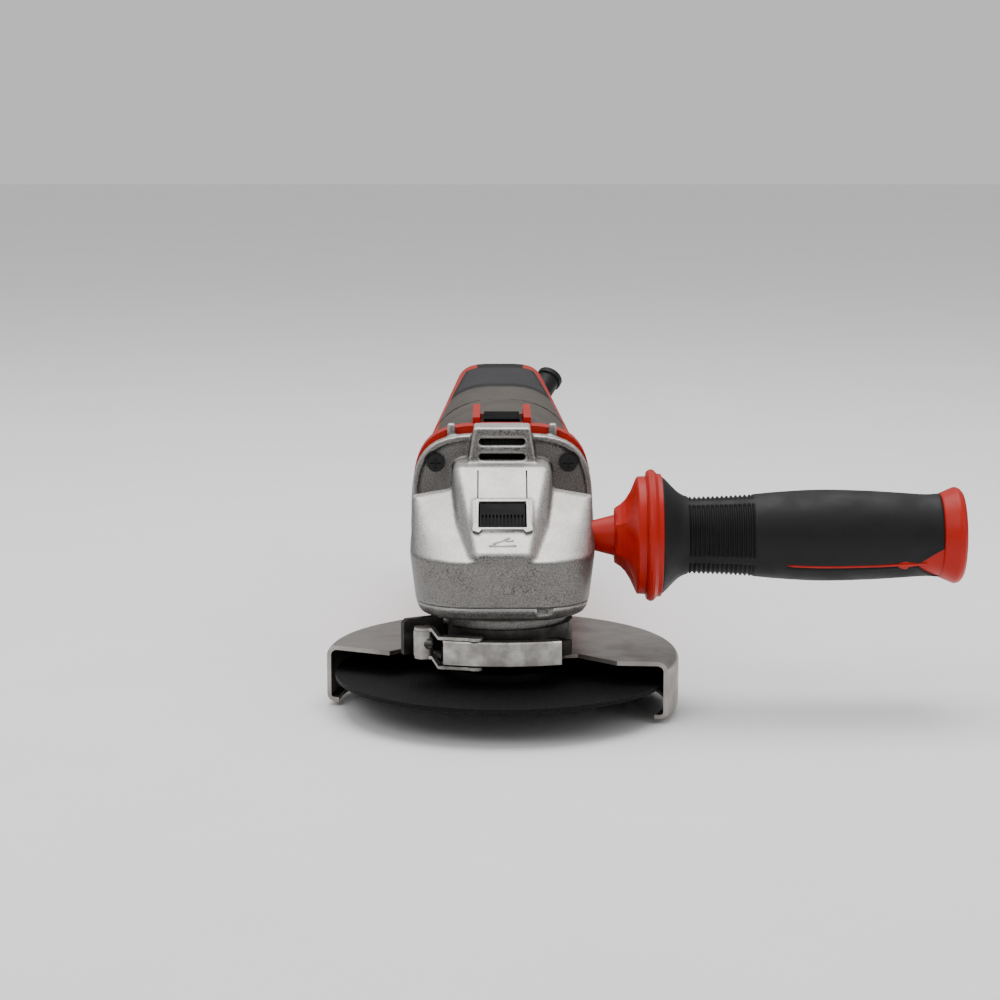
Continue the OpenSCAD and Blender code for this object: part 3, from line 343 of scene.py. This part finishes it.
finishes = {}
for finishName, finishValues in plainFinishes.items():
    made = plainFinish(finishName, finishValues)
    for slotName in finishValues["slots"]:
        finishes[slotName] = made
finishes["die_cast_aluminium"] = dieCastAluminium()
finishes["guard_sheet"] = guardSheet()
finishes["abrasive_disc"] = bondedAbrasive()
for slotName, finishName in (("red_plastic", "redHousingNylon"), ("soft_grip_grey", "greySoftGrip"),
                             ("soft_grip_charcoal", "charcoalSoftGrip")):
    finishes[slotName] = twoShotHousing(finishName)
slotOf = {part["node"]: part["material_slot"] for part in frame["record"]["subparts"]}
bodyOf = {node: body for body, nodes in frame["record"]["behaviour"]["bodies"].items() for node in nodes}
print("finishes made:", len(finishes))


# ---- pieces from meshes

def dress(obj, slotName):
    obj.data.materials.clear()
    obj.data.materials.append(finishes[slotName])


for nodeName, obj in frame["nodes"].items():
    dress(obj, slotOf[nodeName])


def newPiece(name, vertices, faces, body, slotName, replaced=()):
    mesh = bpy.data.meshes.new(name)
    mesh.from_pydata(vertices.tolist(), [], faces.tolist() if hasattr(faces, "tolist") else faces)
    mesh.shade_smooth()
    obj = bpy.data.objects.new(name, mesh)
    bpy.context.scene.collection.objects.link(obj)
    dress(obj, slotName)
    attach(obj, body)
    if replaced:
        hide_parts(*replaced)
    return obj


def mergedCopy(nodeName, name):
    # the CAD node's triangles, welded into one skin that can be smoothed
    mesh = frame["nodes"][nodeName].data
    co = np.zeros(len(mesh.vertices) * 3)
    mesh.vertices.foreach_get("co", co)
    corners = np.zeros(len(mesh.loops), np.int64)
    mesh.loops.foreach_get("vertex_index", corners)
    unique, index = np.unique(np.round(co.reshape(-1, 3) / (2e-3 * mm)).astype(np.int64), axis=0,
                              return_inverse=True)
    faces = index.reshape(-1)[corners].reshape(-1, 3)
    whole = (faces[:, 0] != faces[:, 1]) & (faces[:, 1] != faces[:, 2]) & (faces[:, 0] != faces[:, 2])
    return newPiece(name, unique * (2e-3 * mm), faces[whole], bodyOf[nodeName], slotOf[nodeName],
                    [nodeName])


def smoothShaded(nodeName, name, angle=30):
    # welded copy, smooth except where faces meet at more than the angle
    obj = mergedCopy(nodeName, name)
    obj.data.set_sharp_from_angle(angle=math.radians(angle))
    return obj


def castSkin(nodeName, name, voxelMm, rounds):
    # welded copy remeshed and relaxed, which rounds every edge as a die casting has it
    obj = mergedCopy(nodeName, name)
    remesh = obj.modifiers.new("skin", "REMESH")
    remesh.mode, remesh.voxel_size, remesh.use_smooth_shade = "VOXEL", voxelMm * mm, True
    relax = obj.modifiers.new("relax", "SMOOTH")
    relax.factor, relax.iterations = 0.5, rounds
    return obj


# ---- surfaces on a grid

def gridFaces(rows, columns, wrapRows, wrapColumns):
    # quads of a rows x columns grid of points; wrapping joins the last row or column to the first
    r = np.arange(rows if wrapRows else rows - 1)[:, None]
    c = np.arange(columns if wrapColumns else columns - 1)[None, :]
    r2, c2 = (r + 1) % rows, (c + 1) % columns
    return np.stack([r * columns + c, r2 * columns + c, r2 * columns + c2, r * columns + c2],
                    axis=-1).reshape(-1, 4)


def turnedAlongX(distance, radius, angle, originMm):
    # point at a distance along +X from the origin, at a radius and an angle from the front, upward
    x = originMm[0] + distance + 0 * angle
    y = originMm[1] - radius * np.cos(angle)
    z = originMm[2] + radius * np.sin(angle)
    return np.stack(np.broadcast_arrays(x, y, z), axis=-1).reshape(-1, 3) * mm


def softStep(x, start, end):
    t = np.clip((x - start) / (end - start), 0, 1)
    return t * t * (3 - 2 * t)


def wrapped(angle):
    return (angle + np.pi) % (2 * np.pi) - np.pi


# ---- side handle

sideHandle = dict(
    rubberStart=25.0, bore=9.2, ribStart=34.9, ribPitch=1.7, ribCount=14, ribDepth=0.8,
    stripDegrees=(66, -30, 150, 246), stripHalfDegrees=5,
    inlayDegrees=-36, inlayStart=70.5, wedgeStart=118.5, inlayDepth=1.1, inlayWidth=1.5)
socket = frame["record"]["mounts"][1]["pos_m"]
handleOrigin = (-socket[0] / mm, 0.0, socket[2] / mm)
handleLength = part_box("side_handle_core")[1][0] / mm - handleOrigin[0]
rubberEnd = handleLength - 8.7


def gripRadius(s):
    # flare by the flange, waist, long swell and a small rim at the far end
    knots = [24.5, 26.2, 28.4, 30.6, 32.8, 35.1, 42, 50, 59, 66, 73, 80, 86, 93, 104, 115, 121, 125, 128.4]
    radii = [22.6, 21.1, 18.8, 16.5, 15.0, 14.3, 14.5, 14.8, 15.3, 16.0, 16.5, 16.9, 17.0, 16.9, 16.5,
             15.8, 15.35, 15.25, 15.6]
    return np.interp(s, np.array(knots) * 1.0, radii)


def smoothGripRadius(s):
    # the same curve averaged over 3 mm, which leaves no kinks between its knots
    offsets = np.linspace(-1.5, 1.5, 9)
    held = np.clip(s[..., None] + offsets, 24.5, 128.4)
    return gripRadius(held).mean(axis=-1)


def buildHandleRubber():
    # radius of the swelled grip, less a raised-cosine groove between ribs inside four panels, less the
    # slot of the inlay; its far edge draws back in a wedge on both sides
    v = sideHandle
    ribEnd = v["ribStart"] + v["ribPitch"] * v["ribCount"]
    outer = np.concatenate([np.linspace(v["rubberStart"], v["ribStart"], 26)[:-1],
                            np.linspace(v["ribStart"], ribEnd, 14 * v["ribCount"] + 1),
                            np.linspace(ribEnd, rubberEnd, 84)[1:]])
    angle = np.radians(np.arange(0, 360, 1.5))[None, :]
    s = outer[:, None]
    mask = np.ones_like(angle)
    for centre in v["stripDegrees"]:
        off = np.abs(np.degrees(wrapped(angle - math.radians(centre))))
        mask = mask * softStep(off, v["stripHalfDegrees"], v["stripHalfDegrees"] + 3)
    zone = softStep(s, v["ribStart"] - 0.05, v["ribStart"] + 0.1)
    zone = zone * (1 - softStep(s, ribEnd - 0.1, ribEnd + 0.05))
    wave = (0.5 + 0.5 * np.cos(2 * np.pi * (s - v["ribStart"]) / v["ribPitch"])) ** 0.8
    radius = smoothGripRadius(s) - v["ribDepth"] * mask * zone * wave
    warp = np.zeros_like(s * angle)
    for side in (0, 180):
        off = np.degrees(wrapped(angle - math.radians(v["inlayDegrees"] + side)))
        across = np.abs(off) * math.pi / 180 * radius
        slot = (1 - softStep(across, v["inlayWidth"] / 2 - 0.15, v["inlayWidth"] / 2 + 0.25))
        slot = slot * softStep(s, v["inlayStart"], v["inlayStart"] + 0.8)
        radius = radius - v["inlayDepth"] * slot
        reach = np.where(off > 0, off / 26, -off / 42)
        draw = np.clip(1 - reach, 0, 1)
        draw = np.where(off > 0, draw ** 0.8, draw)
        warp = warp + draw * (rubberEnd - v["wedgeStart"]) * softStep(s, 100, rubberEnd)
    place = s + 0 * angle - warp
    ends = np.full((1, angle.size), v["bore"])
    radius = np.concatenate([ends, radius, ends])
    place = np.concatenate([place[:1], place, place[-1:]])
    points = turnedAlongX(place, radius, angle, handleOrigin)
    faces = gridFaces(len(radius), angle.size, True, True)[:, ::-1]
    return newPiece("handleRubber", points, faces, "casing", "handle_rubber", ["side_handle_grip"])


def buildHandleInlay():
    # narrow red fin in the upper half of each slot, and the red shoulder that shows in the wedges
    v = sideHandle
    for number, side in enumerate((0, 180)):
        s = np.linspace(v["inlayStart"] + 0.5, v["wedgeStart"] + 4, 60)[:, None]
        middle = math.radians(v["inlayDegrees"] + side)
        lean = 1 if side == 0 else -1
        width = 0.45 * softStep(s, v["inlayStart"], v["inlayStart"] + 3)
        across = np.array([[-1, -1, 1, 1]]) * width + 0.32 * lean
        depth = np.array([[-1.3, -0.12, -0.12, -1.3]])
        radius = smoothGripRadius(s) + depth
        points = turnedAlongX(s + 0 * across, radius, middle + across / radius, handleOrigin)
        faces = gridFaces(len(s), 4, False, True)[:, ::-1].tolist()
        last = 4 * len(s)
        faces += [[0, 1, 2, 3], [last - 1, last - 2, last - 3, last - 4]]
        newPiece("handleInlay" + "AB"[number], points, faces, "casing", "handle_red")
    s = np.linspace(112, rubberEnd + 0.6, 40)[:, None]
    angle = np.radians(np.arange(0, 360, 4))[None, :]
    radius = smoothGripRadius(s) - 0.45 + 0 * angle
    ends = np.full((1, angle.size), v["bore"] + 0.1)
    radius = np.concatenate([ends, radius, ends])
    place = np.concatenate([s[:1], s, s[-1:]]) + 0 * angle
    newPiece("handleShoulder", turnedAlongX(place, radius, angle, handleOrigin),
             gridFaces(len(radius), angle.size, True, True)[:, ::-1], "casing", "handle_red")


def buildHandleCore():
    # hub: tapered neck, six-sided petals that fade into the cone, two stepped flanges; and the end cap
    angle = np.radians(np.arange(0, 360, 1.5))[None, :]
    knots = np.array([[-1.2, 0.1], [-1.2, 5.4], [7.3, 7.6], [7.4, 7.7], [7.6, 10.2], [8.0, 10.6],
                      [9.8, 11.8], [11.6, 13.6], [13.6, 16.9], [15.6, 21.2], [15.9, 21.7], [16.2, 21.9],
                      [18.8, 22.0], [19.1, 21.8], [19.3, 21.9], [19.4, 23.6], [19.9, 24.2], [21.0, 24.6],
                      [22.0, 24.4], [23.0, 23.3], [23.3, 23.0], [24.8, 22.8], [25.0, 22.2], [25.0, 9.3],
                      [25.0, 0.1]])
    last = len(knots) - 1
    steps = np.linspace(0, last, 6 * last + 1)
    s = np.interp(steps, np.arange(len(knots)), knots[:, 0])[:, None]
    r = np.interp(steps, np.arange(len(knots)), knots[:, 1])[:, None]
    sixth = (np.degrees(angle) + 30) % 60 - 30
    hexagon = math.cos(math.pi / 6) / np.cos(np.radians(sixth))
    petal = softStep(s, 7.6, 8.0) * (1 - softStep(s, 9.0 + 5 * (1 - np.abs(sixth) / 30), 15.6))
    inside = (s > 7.4) & (s < 15.7)
    radius = np.where(inside, r * (1 - 0.9 * petal * (1 - hexagon)), r + 0 * angle)
    points = turnedAlongX(s, radius, angle, handleOrigin)
    faces = gridFaces(len(s), angle.size, False, True)[:, ::-1].tolist()
    count = angle.size
    faces += [list(range(count)), list(range(len(points) - 1, len(points) - 1 - count, -1))]
    hub = newPiece("handleHub", points, faces, "casing", "handle_red", ["side_handle_core"])
    hub.data.set_sharp_from_angle(angle=math.radians(28))
    e = rubberEnd
    knots = np.array([[e, 0.1], [e, 15.1], [e + 0.4, 15.8], [e + 4.6, 17.6], [e + 5.4, 17.95],
                      [e + 6.2, 17.95], [e + 7.4, 17.5], [e + 8.5, 16.2], [e + 8.7, 15.2], [e + 8.6, 13.8],
                      [e + 8.2, 13.2], [e + 8.2, 0.1]])
    steps = np.linspace(0, len(knots) - 1, 6 * len(knots))
    s = np.interp(steps, np.arange(len(knots)), knots[:, 0])[:, None]
    r = np.interp(steps, np.arange(len(knots)), knots[:, 1])[:, None] + 0 * angle
    points = turnedAlongX(s, r, angle, handleOrigin)
    faces = gridFaces(len(s), count, False, True)[:, ::-1].tolist()
    faces += [list(range(count)), list(range(len(points) - 1, len(points) - 1 - count, -1))]
    cap = newPiece("handleEndCap", points, faces, "casing", "handle_red")
    cap.data.set_sharp_from_angle(angle=math.radians(50))


buildHandleRubber()
buildHandleInlay()
buildHandleCore()
print("side handle built")

# ---- gear head

buttonFrame = dict(slopeDegrees=27.5, frontY=-5, riseMm=1.6, innerHalf=8.9, innerLow=-16.9,
                   innerHigh=-1.0, outerHalf=10.0, lipHalf=10.9, low=-18.6, high=0.2)
panelGroove = dict(acrossMm=9.1, halfWidthMm=0.3, fromMm=2.0, toMm=19.5, depthMm=0.75)
lockMark = dict(bars=[((-3.6, -25.6), (2.6, -21.9)), ((1.0, -23.6), (4.0, -23.6)),
                      ((-5.0, -26.6), (5.0, -26.6))], halfWidthMm=0.33, sunkMm=0.6, proudMm=0.34)
# dark sheet standing in for the shade inside the air slots
ventGauze = dict(halfWidthMm=8.6, frontY=25.2, backY=26.4, lowZ=89.9, highZ=101.4, ridgeMm=0.25,
                 pitchMm=0.9)
axisZ = handleOrigin[2] - 0.8
noseZ = axisZ + 14.1


def onSlope(points):
    # points given along the nose's slope (across, up the slope, out of it), turned into place
    a = math.radians(buttonFrame["slopeDegrees"])
    x, u, w = points[:, 0], points[:, 1], points[:, 2]
    return np.stack([x, buttonFrame["frontY"] + u * math.cos(a) - w * math.sin(a),
                     noseZ + u * math.sin(a) + w * math.cos(a)], axis=-1) * mm


def slopeBox(x0, x1, u0, u1, w0, w1):
    corners = np.array([(x, u, w) for w in (w0, w1) for u in (u0, u1) for x in (x0, x1)], float)
    return corners, [[0, 2, 3, 1], [4, 5, 7, 6], [0, 1, 5, 4], [2, 6, 7, 3], [0, 4, 6, 2], [1, 3, 7, 5]]


def settle(obj):
    # apply the modifiers, so that nothing live is left
    graph = bpy.context.evaluated_depsgraph_get()
    mesh = bpy.data.meshes.new_from_object(obj.evaluated_get(graph))
    obj.modifiers.clear()
    obj.data = mesh


def buildCastHousing():
    # cast skin with two fine panel grooves cut from the button up to the vent
    v = panelGroove
    obj = castSkin("gear_housing", "castGearHousing", 0.62, 5)
    settle(obj)
    cuts = []
    for side in (-1, 1):
        middle = side * v["acrossMm"]
        points, faces = slopeBox(middle - v["halfWidthMm"], middle + v["halfWidthMm"], v["fromMm"],
                                 v["toMm"], -v["depthMm"], 3)
        cuts.append((onSlope(points), faces))
    vertices = np.concatenate([c[0] for c in cuts])
    faces = cuts[0][1] + [[i + 8 for i in f] for f in cuts[1][1]]
    mesh = bpy.data.meshes.new("grooveCutter")
    mesh.from_pydata(vertices.tolist(), [], faces)
    cutter = bpy.data.objects.new("grooveCutter", mesh)
    bpy.context.scene.collection.objects.link(cutter)
    cut = obj.modifiers.new("grooves", "BOOLEAN")
    cut.operation, cut.object, cut.solver = "DIFFERENCE", cutter, "EXACT"
    bpy.context.view_layer.update()
    settle(obj)
    bpy.data.objects.remove(cutter)
    obj.data.shade_smooth()
    obj.data.set_sharp_from_angle(angle=math.radians(50))
    return obj


def buildButtonFrame():
    # bright rim round the button: an outline with a flared lower lip and hooked corners, and a
    # rectangular opening, standing proud of the slope
    v = buttonFrame
    outer = [(-v["outerHalf"], v["high"]), (v["outerHalf"], v["high"]), (v["outerHalf"] + 0.2, -12.5),
             (v["lipHalf"], -16.2), (v["lipHalf"] + 0.1, v["low"]), (v["lipHalf"] - 2.2, v["low"] - 1.2),
             (7.6, v["low"] + 0.6), (-7.6, v["low"] + 0.6), (2.2 - v["lipHalf"], v["low"] - 1.2),
             (-v["lipHalf"] - 0.1, v["low"]), (-v["lipHalf"], -16.2), (-v["outerHalf"] - 0.2, -12.5)]
    h, low, high = v["innerHalf"], v["innerLow"], v["innerHigh"]
    inner = [(-h, high), (h, high), (h, -12.5), (h, -16.2), (h, low), (h - 1, low), (7.0, low), (-7.0, low),
             (1 - h, low), (-h, low), (-h, -16.2), (-h, -12.5)]
    count = len(outer)
    rings = []
    for outline, heights in ((outer, (-1.2, v["riseMm"] * 0.75)), (inner, (v["riseMm"] * 0.75, -2.5))):
        for w in heights:
            rings.append([(x, u, w) for x, u in outline])
    points = onSlope(np.array(rings, float).reshape(-1, 3))
    piece = newPiece("buttonFrame", points, gridFaces(4, count, True, True)[:, ::-1], "casing",
                     "die_cast_aluminium")
    bevel = piece.modifiers.new("edges", "BEVEL")
    bevel.width, bevel.segments, bevel.limit_method = 0.35 * mm, 3, "ANGLE"
    piece.data.set_sharp_from_angle(angle=math.radians(40))
    return piece


def buildLockMark():
    # plain raised mark below the button: a slanted bar that meets a level one, over a longer bar
    v = lockMark
    vertices, faces = [], []
    for (x0, u0), (x1, u1) in v["bars"]:
        length = math.hypot(x1 - x0, u1 - u0)
        ax, au = (x1 - x0) / length, (u1 - u0) / length
        wide = v["halfWidthMm"]
        base = len(vertices)
        for w in (-v["sunkMm"], v["proudMm"]):
            for side in (-1, 1):
                for x, u in ((x0, u0), (x1, u1)):
                    vertices.append((x - side * au * wide, u + side * ax * wide, w))
        faces += [[base + i for i in f] for f in ([0, 2, 3, 1], [4, 5, 7, 6], [0, 1, 5, 4], [2, 6, 7, 3],
                                                 [0, 4, 6, 2], [1, 3, 7, 5])]
    return newPiece("lockMark", onSlope(np.array(vertices)), faces, "casing", "die_cast_aluminium")


def buildVentShadeSheet():
    # dark sheet behind the two air slots, standing in for the shade inside them: a plate of fine ridges
    v = ventGauze
    columns = np.linspace(-v["halfWidthMm"], v["halfWidthMm"], 160)
    wave = v["ridgeMm"] * np.sin(columns * 2 * np.pi / v["pitchMm"])
    rows = [(v["frontY"], v["lowZ"], wave), (v["frontY"], v["highZ"], wave),
            (v["backY"], v["highZ"], 0 * wave), (v["backY"], v["lowZ"], 0 * wave)]
    points = np.concatenate([np.stack([columns, y + ridge, z + 0 * columns], axis=-1)
                             for y, z, ridge in rows])
    faces = gridFaces(4, len(columns), True, False).tolist()
    return newPiece("ventGauze", points * mm, faces, "casing", "black_plastic")


buildCastHousing()
castSkin("bearing_plate", "castBearingPlate", 0.62, 4)
buildButtonFrame()
buildLockMark()
buildVentShadeSheet()
print("gear head built")
for nodeName in ("motor_housing", "handle_shell_left", "handle_shell_right", "front_grip", "rear_grip",
                 "cord_gland", "clamping_nut", "inner_flange",
                 "guard_shell", "guard_collar", "clamp_lever", "clamp_link", "clamp_barrel",
                 "lock_button", "switch_slider", "cutting_disc", "spindle"):
    words = nodeName.split("_")
    copy = smoothShaded(nodeName, words[0] + "".join(w.capitalize() for w in words[1:]))
    # button and slider get the nylon whose colour is painted darker as shade
    if nodeName in ("lock_button", "switch_slider"):
        dress(copy, "dryNylon")
print("copies welded and shaded")


# ---- floor, light and camera

def buildStudio():
    v = dict(floorSize=8.0, keyPower=5, fillPower=2.2, topPower=13, horizon=0.3, zenith=0.75,
             backdrop=0.68)
    floorMaterial, tree, shader, place = newMaterial("paleFloor", {"Roughness": 0.9})
    tone = mixColours(tree, grain(tree, place, 60, 2.0), "#F4F4F4", "#FAFAFA")
    tree.links.new(tone, shader.inputs["Base Color"])
    half = v["floorSize"] / 2
    low = cadBox[0][2]
    mesh = bpy.data.meshes.new("floor")
    corners = [(-half, -half, low), (half, -half, low), (half, half, low), (-half, half, low)]
    mesh.from_pydata(corners, [], [(0, 1, 2, 3)])
    floor = bpy.data.objects.new("floor", mesh)
    bpy.context.scene.collection.objects.link(floor)
    mesh.materials.append(floorMaterial)
    world = bpy.data.worlds.new("studio")
    world.use_nodes = True
    sky = world.node_tree
    background = sky.nodes["Background"]
    up = addNode(sky, "ShaderNodeSeparateXYZ", None,
                 {"Vector": addNode(sky, "ShaderNodeTexCoord").outputs["Generated"]}).outputs["Z"]
    level = addNode(sky, "ShaderNodeMapRange", {"From Min": 0.0, "From Max": 0.9, "To Min": v["horizon"],
                                                "To Max": v["zenith"]}, {"Value": up}).outputs[0]
    # the camera sees an even pale backdrop, while the light stays brighter from above
    seen = addNode(sky, "ShaderNodeLightPath").outputs["Is Camera Ray"]
    strength = addNode(sky, "ShaderNodeMix", {"data_type": "FLOAT", 3: v["backdrop"]}, {0: seen, 2: level})
    sky.links.new(strength.outputs[0], background.inputs["Strength"])
    background.inputs["Color"].default_value = (1, 1, 1, 1)
    bpy.context.scene.world = world
    lamps = (("key", v["keyPower"], 0.8, (-0.7, -0.9, 1.1)), ("fill", v["fillPower"], 0.9, (1.0, -0.7, 0.7)),
             ("top", v["topPower"], 1.0, (0.0, 0.25, 1.15)))
    for name, power, size, spot in lamps:
        lamp = bpy.data.lights.new(name, "AREA")
        lamp.energy, lamp.size = power, size
        obj = bpy.data.objects.new(name, lamp)
        bpy.context.scene.collection.objects.link(obj)
        obj.location = spot
        away = np.array(spot) - np.array((0.03, 0.05, 0.06))
        turn = math.atan2(away[1], away[0]) + math.pi / 2
        obj.rotation_euler = (math.atan2(math.hypot(away[0], away[1]), away[2]), 0, turn)


def buildCamera():
    v = dict(distance=1.0, height=0.24478, downDegrees=9.41, lens=98.14, across=-0.0044, shift=0.0095)
    data = bpy.data.cameras.new("camera")
    data.lens, data.sensor_width, data.shift_x = v["lens"], 36.0, v["shift"]
    camera = bpy.data.objects.new("camera", data)
    camera.location = (v["across"], -v["distance"], v["height"])
    camera.rotation_euler = (math.radians(90 - v["downDegrees"]), 0, 0)
    bpy.context.scene.collection.objects.link(camera)
    bpy.context.scene.camera = camera


buildStudio()
buildCamera()
print("studio and camera set")
